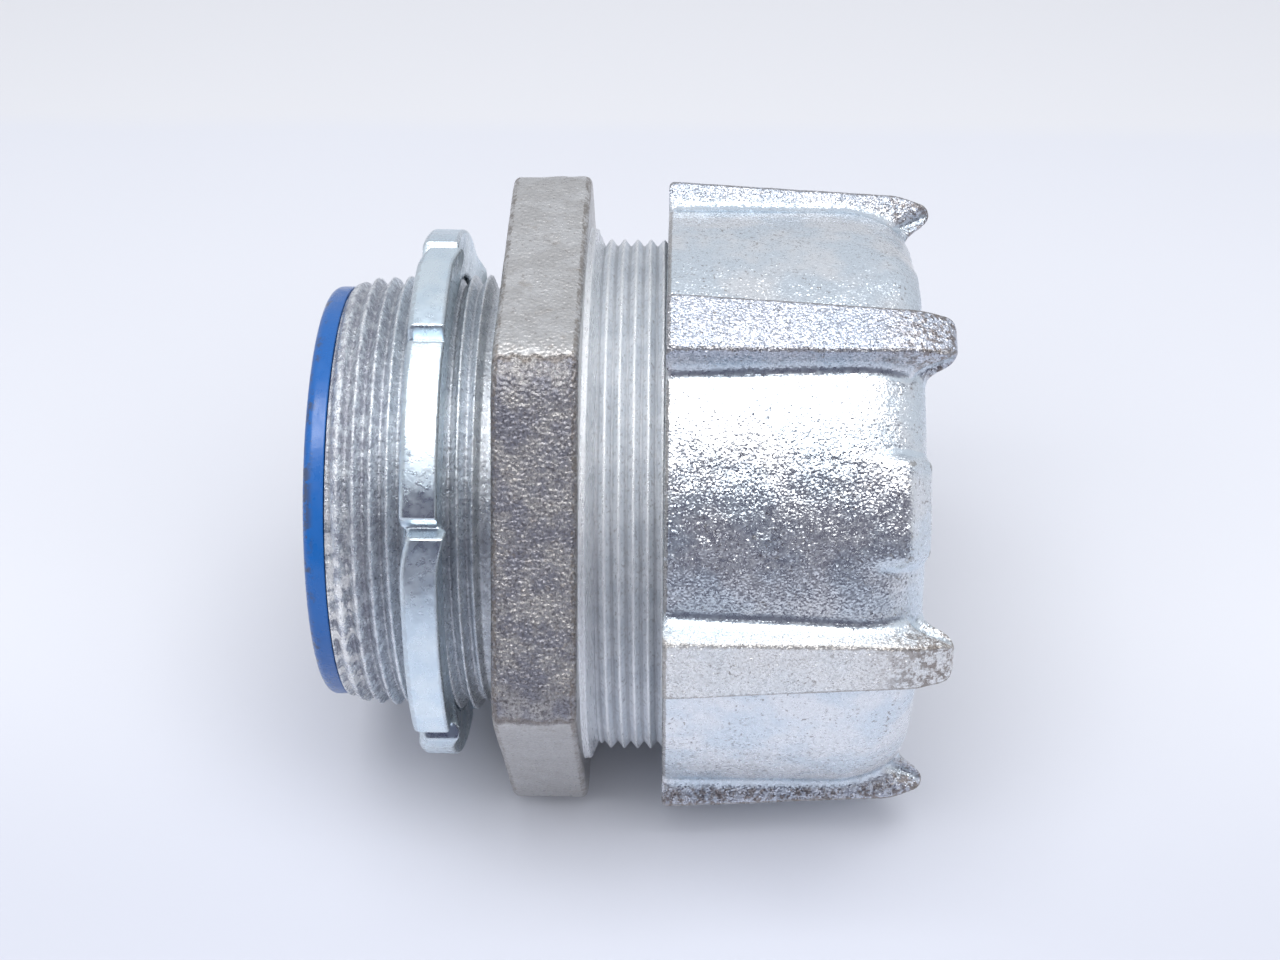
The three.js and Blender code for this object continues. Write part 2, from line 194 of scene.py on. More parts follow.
FERRULE_BORE, FERRULE_WALL = 24.9, 0.8
# The ferrule's skirt, floor and ribbed stretch, as distances from its seat.
SKIRT_DEPTH, SKIRT_FLOOR = 4.4, 1.2
RIB_START, RIB_END = 4.9, 14.9
RIB_PITCH, RIB_CREST_X, RIB_HEIGHT = 5.0, 25.5, 0.7

# ---------- noise ----------

LATTICE = 32


def lattice(seed):
    return np.random.default_rng(seed).uniform(-1, 1, (LATTICE, LATTICE, LATTICE))


def noise(points, cell, seed):
    """Smooth value noise between -1 and 1 at an array of points, with lumps about `cell` across."""
    table = lattice(seed)
    scaled = points / cell
    base = np.floor(scaled).astype(int)
    part = scaled - base
    part = part * part * (3 - 2 * part)
    total = 0.0
    for corner in np.ndindex(2, 2, 2):
        index = (base + corner) % LATTICE
        weight = np.prod(np.where(corner, part, 1 - part), axis=-1)
        total = total + weight * table[index[..., 0], index[..., 1], index[..., 2]]
    return total


# ---------- outlines and rings ----------


def smooth(t):
    t = np.clip(t, 0, 1)
    return t * t * (3 - 2 * t)


def fillet(before, corner, after, radius, count):
    """Points of an arc that rounds a corner, from the incoming side to the outgoing one."""
    into = (before - corner) / np.linalg.norm(before - corner)
    out = (after - corner) / np.linalg.norm(after - corner)
    half = math.acos(np.clip(into @ out, -1, 1)) / 2
    reach = radius / math.tan(half)
    bisector = (into + out) / np.linalg.norm(into + out)
    centre = corner + bisector * radius / math.sin(half)
    start, end = corner + into * reach - centre, corner + out * reach - centre
    sweep = math.pi - 2 * half
    points = []
    for step in np.linspace(0, 1, count):
        a = math.sin((1 - step) * sweep) / math.sin(sweep)
        b = math.sin(step * sweep) / math.sin(sweep)
        points.append(centre + a * start + b * end)
    return points


def outline(corners):
    """A closed outline from (x, radius, rounding, arc points, edge steps, tag) corners.

    Edge steps and tag describe the edge that leaves the corner. Returns the points and
    a tag for each.
    """
    places = [np.array(c[:2], float) for c in corners]
    arcs = []
    for i, (_, _, rounding, count, _, _) in enumerate(corners):
        if rounding:
            neighbours = places[i - 1], places[i], places[(i + 1) % len(places)]
            arcs.append(fillet(*neighbours, rounding, count))
        else:
            arcs.append([places[i]])
    points, tags = [], []
    for i, (_, _, _, _, steps, tag) in enumerate(corners):
        points += arcs[i]
        tags += [tag] * len(arcs[i])
        start, end = arcs[i][-1], arcs[(i + 1) % len(arcs)][0]
        for step in range(1, steps):
            points.append(start + (end - start) * step / steps)
            tags.append(tag)
    return np.array(points), tags


def plain_outline(corners):
    """The points of an outline whose edges need no steps between them and no tags."""
    points, _ = outline([(*corner, 1, "") for corner in corners])
    return points


def bend_along(points, normals, axis):
    """Signed curvature per millimetre along one direction of the grid: convex is positive."""
    ahead = np.roll(points, -1, axis) - points
    behind = points - np.roll(points, 1, axis)
    ahead_length = np.linalg.norm(ahead, axis=-1, keepdims=True) + 1e-9
    behind_length = np.linalg.norm(behind, axis=-1, keepdims=True) + 1e-9
    turn = ahead / ahead_length - behind / behind_length
    reach = np.maximum(ahead_length + behind_length, 0.2 * MM) / 2
    return -(turn / reach * normals).sum(-1) * MM


def ring_mesh(name, x, radius, angles, slots, **attributes):
    """A closed mesh from sections around the axis.

    x, radius and angles are (sections, points) arrays, and slots gives a material index
    for each point of the section. Each attribute is an array of the same shape. A "bend"
    attribute, the surface's curvature, is added for the materials' edge wear.
    """
    sections, count = radius.shape
    points = np.empty((sections, count, 3))
    points[..., 0] = x * MM + SHOULDER_M
    points[..., 1] = radius * np.cos(angles) * MM
    points[..., 2] = radius * np.sin(angles) * MM
    section, point = np.meshgrid(np.arange(sections), np.arange(count), indexing="ij")
    after, beyond = (section + 1) % sections, (point + 1) % count
    faces = np.stack(
        [
            section * count + point,
            after * count + point,
            after * count + beyond,
            section * count + beyond,
        ],
        axis=-1,
    ).reshape(-1, 4)
    mesh = bpy.data.meshes.new(name)
    mesh.vertices.add(points.size // 3)
    mesh.vertices.foreach_set("co", points.astype(np.float32).ravel())
    mesh.loops.add(faces.size)
    mesh.loops.foreach_set("vertex_index", faces.astype(np.int32).ravel())
    mesh.polygons.add(len(faces))
    mesh.polygons.foreach_set("loop_start", np.arange(0, faces.size, 4, dtype=np.int32))
    mesh.polygons.foreach_set("loop_total", np.full(len(faces), 4, np.int32))
    mesh.polygons.foreach_set("material_index", np.tile(slots, sections).astype(np.int32))
    mesh.polygons.foreach_set("use_smooth", np.ones(len(faces), bool))
    mesh.update()

    across, along = np.roll(points, -1, 0) - points, np.roll(points, -1, 1) - points
    normals = np.cross(across, along)
    normals += np.roll(normals, 1, 0)
    normals += np.roll(normals, 1, 1)
    normals /= np.linalg.norm(normals, axis=-1, keepdims=True) + 1e-12
    bend = bend_along(points, normals, 0) + bend_along(points, normals, 1)
    attributes["bend"] = np.clip(bend, -2, 2)
    for key, values in attributes.items():
        layer = mesh.attributes.new(key, "FLOAT", "POINT")
        layer.data.foreach_set("value", values.astype(np.float32).ravel())
    mesh.validate()
    obj = bpy.data.objects.new(name, mesh)
    bpy.context.scene.collection.objects.link(obj)
    return obj


def spread(values, sections):
    return np.tile(np.asarray(values, float), (sections, 1))


def surface_points(x, radius, angles):
    return np.stack([x, radius * np.cos(angles), radius * np.sin(angles)], axis=-1)


def ridge(x, angles, pitch, crest_x, rounding):
    """Thread height between 0 at the root and 1 at the crest. Rounding blends the sharp V."""
    turns = (x - crest_x) / pitch - angles / TURN
    from_crest = np.abs(turns - np.round(turns)) * 2
    height = 1 - from_crest
    return height + (smooth(height) - height) * rounding


def even_angles(sections):
    return (np.arange(sections) / sections * TURN)[:, None]


# ---------- connector body ----------


def hexagon_radius(angles):
    side = np.abs((angles - HEX_FLAT_ANGLE + TURN / 12) % (TURN / 6) - TURN / 12)
    flat = HEX_FLAT / np.cos(side)
    from_corner = TURN / 12 - side
    centre = (HEX_FLAT - HEX_CORNER) / math.cos(TURN / 12)
    across = np.clip(HEX_CORNER**2 - (centre * np.sin(from_corner)) ** 2, 0, None)
    corner = centre * np.cos(from_corner) + np.sqrt(across)
    on_flat = HEX_FLAT * np.tan(side) < (HEX_FLAT - HEX_CORNER) * math.tan(TURN / 12)
    return np.where(on_flat, flat, corner)


def body_outline(hexagon):
    end = BODY_LOW.x
    hub_steps = int((HUB_THREAD_END - end) / HUB_PITCH * 12)
    gland_steps = int((GLAND_MOUTH - CONE_END) / GLAND_PITCH * 11)
    edge = 1.0
    return outline([
        (end, HUB_BORE, 0.25, 3, 4, "end"),
        (end, HUB_END_RADIUS - 0.1, 0.3, 4, hub_steps, "hub"),
        (HUB_THREAD_END, HUB_NECK_RADIUS, 0, 1, 5, "hub"),
        (0, HUB_NECK_RADIUS, 0.5, 4, 8, "hex"),
        (0, hexagon, edge, 6, 12, "hex"),
        (HEX_WIDTH, hexagon, edge, 6, 4, "hex"),
        (HEX_WIDTH, COLLAR_RADIUS, 0.15, 3, 2, "gland"),
        (COLLAR_END, COLLAR_RADIUS, 0.25, 4, 3, "gland"),
        (CONE_END, GLAND_ROOT, 0.2, 3, gland_steps, "gland"),
        (GLAND_MOUTH, GLAND_ROOT, 0, 1, 2, "gland"),
        (GLAND_MOUTH, CAVITY_RADIUS + MOUTH_BEVEL, 0, 1, 2, "gland"),
        (GLAND_MOUTH - MOUTH_BEVEL, CAVITY_RADIUS, 0, 1, 12, "bore"),
        (CAVITY_FLOOR, CAVITY_RADIUS, 0.4, 3, 6, "bore"),
        (CAVITY_FLOOR, HUB_BORE, 0.4, 3, 16, "bore"),
        (GROOVE_END, HUB_BORE, 0, 1, 1, "bore"),
        (GROOVE_END, GROOVE_RADIUS, 0, 1, 1, "bore"),
        (GROOVE_START, GROOVE_RADIUS, 0, 1, 1, "bore"),
        (GROOVE_START, HUB_BORE, 0, 1, 8, "bore"),
    ])


def build_body(materials):
    points, tags = body_outline(HEX_FLAT)
    wider, _ = body_outline(HEX_FLAT + 1)
    tags = np.array(tags)
    sections = 240
    angles = even_angles(sections) + np.zeros(len(points))
    x = spread(points[:, 0], sections)
    radius = spread(points[:, 1], sections)
    reach = spread(wider[:, 1] - points[:, 1], sections)
    radius = radius + reach * (hexagon_radius(angles) - HEX_FLAT)

    crest = HUB_GAUGE_RADIUS + (x - HUB_GAUGE_X) * HUB_TAPER
    height = ridge(x, angles, HUB_PITCH, HUB_CREST_X, 0.75)
    envelope = HUB_END_RADIUS + (x - BODY_LOW.x) * HUB_END_SLOPE
    places = surface_points(x, radius, angles)
    worn = 0.6 * noise(places, 1.6, 11) + 0.4 * noise(places, 0.7, 12)
    battered = 0.15 + 0.85 * smooth((HUB_BATTERED_X - x) / 5)
    kept = 0.97 + 0.03 * worn - battered * 0.16 * (1 - worn)
    thread = crest - HUB_DEPTH * (1 - height * kept) + 0.10 * battered * (worn - 0.4)
    fade = smooth((HUB_THREAD_END - x) / 1.2)
    thread = HUB_NECK_RADIUS + (np.minimum(thread, envelope) - HUB_NECK_RADIUS) * fade
    on_hub = (tags == "hub") & (points[:, 1] > HUB_NECK_RADIUS - 0.01) & (points[:, 0] < -0.6)
    radius = np.where(on_hub, np.maximum(thread, HUB_NECK_RADIUS - 0.4), radius)

    height = ridge(x, angles, GLAND_PITCH, GLAND_CREST_X, 0.2)
    chamfer = np.minimum(1, (GLAND_MOUTH - x) / 1.0)
    start = smooth((x - CONE_END) / 0.5)
    on_gland = (tags == "gland") & (points[:, 0] > CONE_END) & (points[:, 1] > GLAND_ROOT - 0.01)
    thread = GLAND_ROOT + (GLAND_CREST - GLAND_ROOT) * height * np.clip(chamfer, 0, 1) * start
    radius = np.where(on_gland, thread, radius)

    places = surface_points(x, radius, angles)
    cast = (tags == "hex") & (points[:, 1] > HUB_NECK_RADIUS + 0.2)
    lumps = 0.10 * noise(places, 3.1, 21) + 0.07 * noise(places, 1.3, 22)
    radius = radius + np.where(cast, lumps * np.clip(reach * 2, 0, 1), 0)
    order = {"end": 0, "hub": 0, "hex": 1, "gland": 2, "bore": 3}
    crest_height = np.where(on_hub, ridge(x, angles, HUB_PITCH, HUB_CREST_X, 0.75), 1)
    crest_height = np.where(on_gland, height * start, crest_height)
    indexes = [order[t] for t in tags]
    body = ring_mesh("body_casting", x, radius, angles, indexes, height=crest_height)
    finish_piece(body, materials, "body", "connector_body")


# ---------- gland nut ----------


def along_outline(points, count):
    """The same outline as `count` points, evenly spaced along it."""
    points = np.array(points, float)
    steps = np.linalg.norm(np.diff(points, axis=0), axis=1)
    travel = np.concatenate([[0], np.cumsum(steps)])
    marks = np.linspace(0, travel[-1], count)
    return np.column_stack([np.interp(marks, travel, points[:, i]) for i in (0, 1)])


def barrel_end():
    turn = np.linspace(0, math.pi / 2, 24)
    dome_x = CAP_DOME + (CAP_END - CAP_DOME) * np.sin(turn)
    dome_radius = CAP_END_RADIUS + (CAP_RADIUS - CAP_END_RADIUS) * np.cos(turn)
    return [*zip(dome_x, dome_radius), (CAP_END, CAP_FACE_EDGE)]


def cap_outline(start_radius, end):
    """The gland nut's section, from the radius at its start and the shape of its far end."""
    end = along_outline(end, 38)
    root = GLAND_ROOT + THREAD_GAP
    throat = CAP_CHAMBER_END + CAP_CHAMBER - CAP_OPENING
    thread_start = CAP_START + CAP_MOUTH_BEVEL
    thread_steps = int((CAP_THREAD_END - thread_start) / GLAND_PITCH * 5)
    return outline([
        (CAP_START, root + CAP_MOUTH_BEVEL, 0.2, 3, 4, "cap"),
        (CAP_START, start_radius, 0.7, 5, 20, "cap"),
        *[(x, r, 0, 1, 1, "cap") for x, r in end[:-1]],
        (*end[-1], 0, 1, 2, "cap"),
        (CAP_END, CAP_OPENING + CAP_OPENING_BEVEL, 0.2, 3, 2, "inside"),
        (CAP_END - CAP_OPENING_BEVEL, CAP_OPENING, 0, 1, 4, "inside"),
        (throat, CAP_OPENING, 0.3, 3, 4, "inside"),
        (CAP_CHAMBER_END, CAP_CHAMBER, 0.3, 3, 5, "inside"),
        (CAP_THREAD_END, CAP_CHAMBER, 0, 1, 1, "inside"),
        (CAP_THREAD_END, root, 0, 1, thread_steps, "thread"),
        (thread_start, root, 0, 1, 3, "thread"),
    ])


def cap_lattice():
    """Section offsets from a wing's middle, densest at the wing's sides."""
    marks = [0, 4.4, 9.8, 30]
    counts = [5, 20, 25]
    half = []
    for low, high, count in zip(marks, marks[1:], counts):
        half += list(np.linspace(low, high, count, endpoint=False))
    half = np.array(half)
    return np.radians(np.concatenate([-half[:0:-1], half, [30]]))


def wing_side():
    """The wing's side as (distance from its middle, share of its height)."""
    height = WING_TOP - CAP_RADIUS
    beyond, below = 12.0, -5.0
    points = plain_outline([
        (0.0, height, 0, 1),
        (WING_HALF_START, height, 0.85, 7),
        (WING_HALF_START + 0.2 * height, 0.0, 2.1, 9),
        (beyond, 0.0, 0, 1),
        (beyond, below, 0, 1),
        (0.0, below, 0, 1),
    ])
    side = points[:-2]
    return side[:, 0], side[:, 1] / height


def build_cap(materials):
    barrel, tags = cap_outline(CAP_RADIUS, barrel_end())
    wing, _ = cap_outline(WING_TOP, plain_outline(WING_END))
    pad, _ = cap_outline(CAP_RADIUS, plain_outline(PAD_END))
    tags = np.array(tags)
    outer = tags == "cap"
    offsets = cap_lattice()
    offset = np.tile(offsets, 6)[:, None]
    middle = np.repeat(WING_ANGLE + np.arange(6) * TURN / 6, len(offsets))[:, None]

    along = np.clip((wing[:, 0] - CAP_START) / (CAP_TIP - CAP_START), 0, 1)
    into_tip = np.clip(1 - (CAP_TIP - wing[:, 0]) / WING_TIP_ROUNDING, 0, 1)
    rounding = WING_TIP_ROUNDING * (1 - np.sqrt(1 - 0.95 * into_tip**2))
    narrowing = ((WING_HALF_START - WING_HALF_TIP) * along + rounding) / WING_TOP
    shoulder = math.degrees(WING_HALF_START / WING_TOP)
    share = np.interp(np.degrees(np.abs(offset)), [0, shoulder, 11, 18], [0, 1, 1, 0])
    angles = middle + offset - np.sign(offset) * share * narrowing * outer

    rise = np.interp(np.abs(offset) * WING_TOP, *wing_side())
    pad_rise = np.zeros(angles.shape)
    for pad_angle, half, slope, share in PADS:
        from_pad = (angles - math.radians(pad_angle) + TURN / 2) % TURN - TURN / 2
        to_edge = half + slope / 2 - np.abs(from_pad) * CAP_RADIUS
        pad_rise = np.maximum(pad_rise, smooth(to_edge / slope) * share)
    x = barrel[:, 0] + rise * (wing[:, 0] - barrel[:, 0]) + pad_rise * (pad[:, 0] - barrel[:, 0])
    radius = barrel[:, 1] + rise * (wing[:, 1] - barrel[:, 1])
    radius = radius + pad_rise * (pad[:, 1] - barrel[:, 1])

    height = ridge(x, angles, GLAND_PITCH, GLAND_CREST_X, 0.2)
    fade = np.clip((CAP_THREAD_END - x) / 0.8, 0, 1)
    threaded = tags == "thread"
    radius = radius + np.where(threaded, height * fade * (GLAND_CREST - GLAND_ROOT), 0)

    places = surface_points(x, radius, angles)
    lumps = 0.05 * noise(places, 3.3, 31) + 0.04 * noise(places, 1.2, 32) - 0.09
    lumps = lumps + 0.10 * pad_rise * (noise(places, 1.5, 33) - 0.3)
    radius = radius + np.where(outer, lumps, 0)
    order = {"cap": 0, "inside": 1, "thread": 1}
    indexes = [order[t] for t in tags]
    top = rise * outer + np.zeros(len(tags))
    cap = ring_mesh("gland_nut_casting", x, radius, angles, indexes, top=top)
    finish_piece(cap, materials, "gland_nut", "gland_nut")


# ---------- locknut ----------


def notch_lattice():
    """Section angles, each with its distance past the nearest notch and that lug's bend."""
    angles, past, bends = [], [], []
    starts = [a for a, _ in NOTCHES]
    for (start, bend), after in zip(NOTCHES, starts[1:] + [starts[0] + 360]):
        near = np.linspace(-NOTCH_WINDOW, NOTCH_WINDOW, 34, endpoint=False)
        count = int((after - start) * 0.6)
        far = np.linspace(NOTCH_WINDOW, after - start - NOTCH_WINDOW, count, endpoint=False)
        steps = np.concatenate([near, far])
        angles += list(start + steps)
        past += list(np.radians(steps) * LOCKNUT_RADIUS)
        bends += [bend] * len(steps)
    return np.radians(angles)[:, None], np.array(past)[:, None], np.array(bends)[:, None]


def build_locknut(materials):
    start, end, rim = LOCKNUT_START, LOCKNUT_START + LOCKNUT_THICKNESS, LOCKNUT_RADIUS
    points, tags = outline([
        (start, LOCKNUT_MINOR + 1.2, 0, 1, 10, "face"),
        (start, rim, 0.9, 7, 8, "rim"),
        (end, rim, 0.5, 5, 10, "face"),
        (end, LOCKNUT_MINOR + 1.0, 0, 1, 3, "thread"),
        (end - 1.0, LOCKNUT_MINOR, 0, 1, 24, "thread"),
        (start + 1.2, LOCKNUT_MINOR, 0, 1, 3, "thread"),
    ])
    threaded = np.array(tags) == "thread"
    angles, past, bend = notch_lattice()
    angles = angles + np.zeros(len(points))
    x = spread(points[:, 0], len(angles))
    radius = spread(points[:, 1], len(angles))

    beside = 9.0
    notch = plain_outline([
        (-beside, 0.0, 0, 1),
        (-NOTCH_HALF, 0.0, 0.4, 6),
        (0.0, NOTCH_DEPTH, 0.3, 6),
        (NOTCH_HALF, 0.0, 0.4, 6),
        (beside, 0.0, 0, 1),
        (0.0, -beside, 0, 1),
    ])
    dip = np.interp(past, notch[:-1, 0], notch[:-1, 1])
    outward = np.clip((radius - LOCKNUT_MAJOR - 0.6) / (rim - LOCKNUT_MAJOR - 0.6), 0, 1)
    radius = radius - dip * outward
    fold = smooth((past + 0.2) / 0.8) * np.clip(1 - (past - 0.8) / 5.4, 0, 1) ** 1.4
    x = x + fold * bend * outward

    height = ridge(x, angles, HUB_PITCH, HUB_CREST_X, 0.3)
    depth = np.clip(LOCKNUT_MAJOR - radius, 0, LOCKNUT_MAJOR - LOCKNUT_MINOR)
    radius = radius + np.where(threaded, height * depth, 0)
    places = surface_points(x, radius, angles)
    radius = radius + np.where(threaded, 0, 0.025 * noise(places, 2.5, 41) - 0.025)
    locknut = ring_mesh("locknut_plate", x, radius, angles, [0] * len(tags))
    finish_piece(locknut, materials, "locknut", "locknut")


# ---------- insulated throat ----------


def build_throat(materials):
    tip, rim = LINER_LOW.x, LINER_HIGH.z
    back = BODY_LOW.x - 0.15
    points, tags = outline([
        (tip, LINER_BORE, 1.0, 7, 4, "rim"),
        (tip, rim, 1.15, 8, 8, "rim"),
        (back, rim, 0.15, 3, 3, "rim"),
        (back, LINER_SLEEVE, 0, 1, 12, "sleeve"),
        (SNAP_START, LINER_SLEEVE, 0, 1, 1, "sleeve"),
        (SNAP_START, SNAP_RADIUS, 0, 1, 1, "sleeve"),
        (SNAP_END, LINER_SLEEVE, 0, 1, 2, "sleeve"),
        (LINER_HIGH.x, LINER_SLEEVE, 0.2, 3, 2, "sleeve"),
        (LINER_HIGH.x, LINER_BORE, 0.3, 3, 16, "sleeve"),
    ])
    sections = 200
    angles = even_angles(sections) + np.zeros(len(points))
    x = spread(points[:, 0], sections)
    radius = spread(points[:, 1], sections)
    places = surface_points(x, radius, angles)
    on_rim = np.array(tags) == "rim"
    nicks = np.clip(noise(places, 0.9, 51) - 0.55, 0, 1) * 0.25
    radius = radius - np.where(on_rim, nicks, 0)
    throat = ring_mesh("throat_liner", x, radius, angles, [0] * len(points))
    finish_piece(throat, materials, "throat", "insulated_throat")


# ---------- sealing ring ----------


def build_ring(materials):
    start, end, outer = RING_LOW.x, RING_HIGH.x, RING_HIGH.z
    shoulder = outer - RING_BEVEL
    points, _ = outline([
        (start, RING_BORE, 0.25, 3, 2, ""),
        (start, shoulder, 0.25, 3, 4, ""),
        (start + RING_BEVEL, outer, 0.4, 4, 8, ""),
        (end - RING_BEVEL, outer, 0.4, 4, 4, ""),
        (end, shoulder, 0.25, 3, 2, ""),
        (end, RING_BORE, 0.25, 3, 14, ""),
    ])
    sections = 200
    angles = even_angles(sections) + np.zeros(len(points))
    x = spread(points[:, 0], sections)
    radius = spread(points[:, 1], sections)
    ring = ring_mesh("sealing_ring_moulding", x, radius, angles, [0] * len(points))
    finish_piece(ring, materials, "sealing_ring", "sealing_ring")


# ---------- grounding ferrule ----------


def build_ferrule(materials):
    seat, tube_end, skirt = FERRULE_LOW.x, FERRULE_HIGH.x, FERRULE_HIGH.z
    tube, inside_skirt = FERRULE_BORE + FERRULE_WALL, skirt - FERRULE_WALL
    skirt_end, floor = seat + SKIRT_DEPTH, seat + SKIRT_FLOOR
    ribs_start, ribs_end = seat + RIB_START, seat + RIB_END
    points, tags = outline([
        (seat, FERRULE_BORE, 0.3, 3, 6, ""),
        (seat, skirt, 0.7, 5, 4, ""),
        (skirt_end, skirt, 0.3, 3, 1, ""),
        (skirt_end, inside_skirt, 0.3, 3, 4, ""),
        (floor, inside_skirt, 0.3, 3, 5, ""),
        (floor, tube, 0.4, 4, 4, ""),
        (ribs_start, tube, 0, 1, 60, "rib"),
        (ribs_end, tube, 0, 1, 3, ""),
        (tube_end, tube, 0.3, 3, 1, ""),
        (tube_end, FERRULE_BORE, 0.2, 3, 16, ""),
    ])
    sections = 200
    angles = even_angles(sections) + np.zeros(len(points))
    x = spread(points[:, 0], sections)
    radius = spread(points[:, 1], sections)
    turns = (x - RIB_CREST_X) / RIB_PITCH - angles / TURN
    from_crest = np.abs(turns - np.round(turns)) * RIB_PITCH
    lift = smooth(1 - from_crest) * RIB_HEIGHT
    ends = smooth(x - ribs_start) * smooth(ribs_end - x)
    radius = radius + np.where(np.array(tags) == "rib", lift * ends, 0)
    ferrule = ring_mesh("ferrule_cup", x, radius, angles, [0] * len(points))
    finish_piece(ferrule, materials, "ferrule", "grounding_ferrule")


# ---------- materials ----------


class Nodes:
    """A node tree, with a short call for each kind of node the materials use."""

    def __init__(self, tree):
        self.tree = tree

    def node(self, kind, **settings):
        made = self.tree.nodes.new("ShaderNode" + kind)
        for key, value in settings.items():
            setattr(made, key, value)
        return made

    def feed(self, socket, value):
        if isinstance(value, bpy.types.NodeSocket):
            self.tree.links.new(value, socket)
        else:
            socket.default_value = value

    def span(self, value, low, high, start=0.0, end=1.0):
        ramp = self.node("MapRange", interpolation_type="SMOOTHSTEP")
        self.feed(ramp.inputs["Value"], value)
        ramp.inputs["From Min"].default_value = low
        ramp.inputs["From Max"].default_value = high
        ramp.inputs["To Min"].default_value = start
        ramp.inputs["To Max"].default_value = end
        return ramp.outputs["Result"]

    def math(self, operation, first, second):
        step = self.node("Math", operation=operation)
        self.feed(step.inputs[0], first)
        self.feed(step.inputs[1], second)
        return step.outputs[0]

    def vector(self, operation, *values):
        step = self.node("VectorMath", operation=operation)
        for socket, value in zip(step.inputs, values):
            self.feed(socket, value)
        return step.outputs["Vector"]

    def add(self, first, second):
        return self.math("ADD", first, second)

    def times(self, first, second):
        return self.math("MULTIPLY", first, second)

    def mix(self, share, first, second):
        blend = self.node("Mix", data_type="RGBA")
        self.feed(blend.inputs["Factor"], share)
        for socket, colour in (("A", first), ("B", second)):
            value = colour if isinstance(colour, bpy.types.NodeSocket) else (*colour, 1)
            self.feed(blend.inputs[socket], value)
        return blend.outputs["Result"]


class Surface(Nodes):
    """A material over object coordinates, with sizes given in millimetres."""

    def __init__(self, name):
        self.material = bpy.data.materials.new(name)
        self.material.use_nodes = True
        super().__init__(self.material.node_tree)
        self.shader = self.tree.nodes["Principled BSDF"]
        self.place = self.node("TexCoord").outputs["Object"]

    def attribute(self, name):
        return self.node("Attribute", attribute_name=name).outputs["Fac"]

    def axis(self, name):
        split = self.node("SeparateXYZ")
        self.feed(split.inputs[0], self.place)
        return split.outputs[name]

    def reach(self, angle):
        """Distance from the axis, in millimetres, measured along the direction at that angle."""
        dot = self.node("VectorMath", operation="DOT_PRODUCT")
        self.feed(dot.inputs[0], self.place)
        dot.inputs[1].default_value = (0, math.cos(angle) / MM, math.sin(angle) / MM)
        return dot.outputs["Value"]

    def stretched(self, x, y, z):
        mapping = self.node("Mapping")
        self.feed(mapping.inputs["Vector"], self.place)
        mapping.inputs["Scale"].default_value = (x, y, z)
        return mapping.outputs["Vector"]

    def noise(self, size, detail=2.0, place=None, rough=0.5):
        """Lumps about `size` across, from 0 to 1."""
        texture = self.node("TexNoise")
        self.feed(texture.inputs["Vector"], place or self.place)
        texture.inputs["Scale"].default_value = 1 / (size * MM)
        texture.inputs["Detail"].default_value = detail
        texture.inputs["Roughness"].default_value = rough
        return texture.outputs["Fac"]

    def cells(self, size):
        """Rounded cells about `size` across: 0 in the middle of each."""
        texture = self.node("TexVoronoi", feature="SMOOTH_F1")
        self.feed(texture.inputs["Vector"], self.place)
        texture.inputs["Scale"].default_value = 1 / (size * MM)
        texture.inputs["Smoothness"].default_value = 0.4
        return texture.outputs["Distance"]

    def bump(self, height, depth, base=None):
        """Raises the surface by up to `depth` where height is 1."""
        relief = self.node("Bump")
        self.feed(relief.inputs["Height"], height)
        relief.inputs["Distance"].default_value = depth * MM
        if base is not None:
            self.feed(relief.inputs["Normal"], base)
        return relief.outputs["Normal"]

    def facets(self, size, tilt, normal):
        """Tilts each small cell its own way: most only a little, a few by up to `tilt`."""
        texture = self.node("TexVoronoi", feature="F1")
        self.feed(texture.inputs["Vector"], self.place)
        texture.inputs["Scale"].default_value = 1 / (size * MM)
        lean = self.vector("MULTIPLY_ADD", texture.outputs["Color"], (2, 2, 2), (-1, -1, -1))
        lean = self.vector("MULTIPLY", lean, self.vector("ABSOLUTE", lean))
        return self.vector("NORMALIZE", self.vector("MULTIPLY_ADD", lean, tilt, normal))

    def finish(self, colour, rough, metal, normal=None, coat=0.0):
        self.feed(self.shader.inputs["Base Color"], colour)
        self.feed(self.shader.inputs["Roughness"], rough)
        self.feed(self.shader.inputs["Metallic"], metal)
        self.shader.inputs["Coat Weight"].default_value = coat
        if normal is not None:
            self.feed(self.shader.inputs["Normal"], normal)
        return self.material


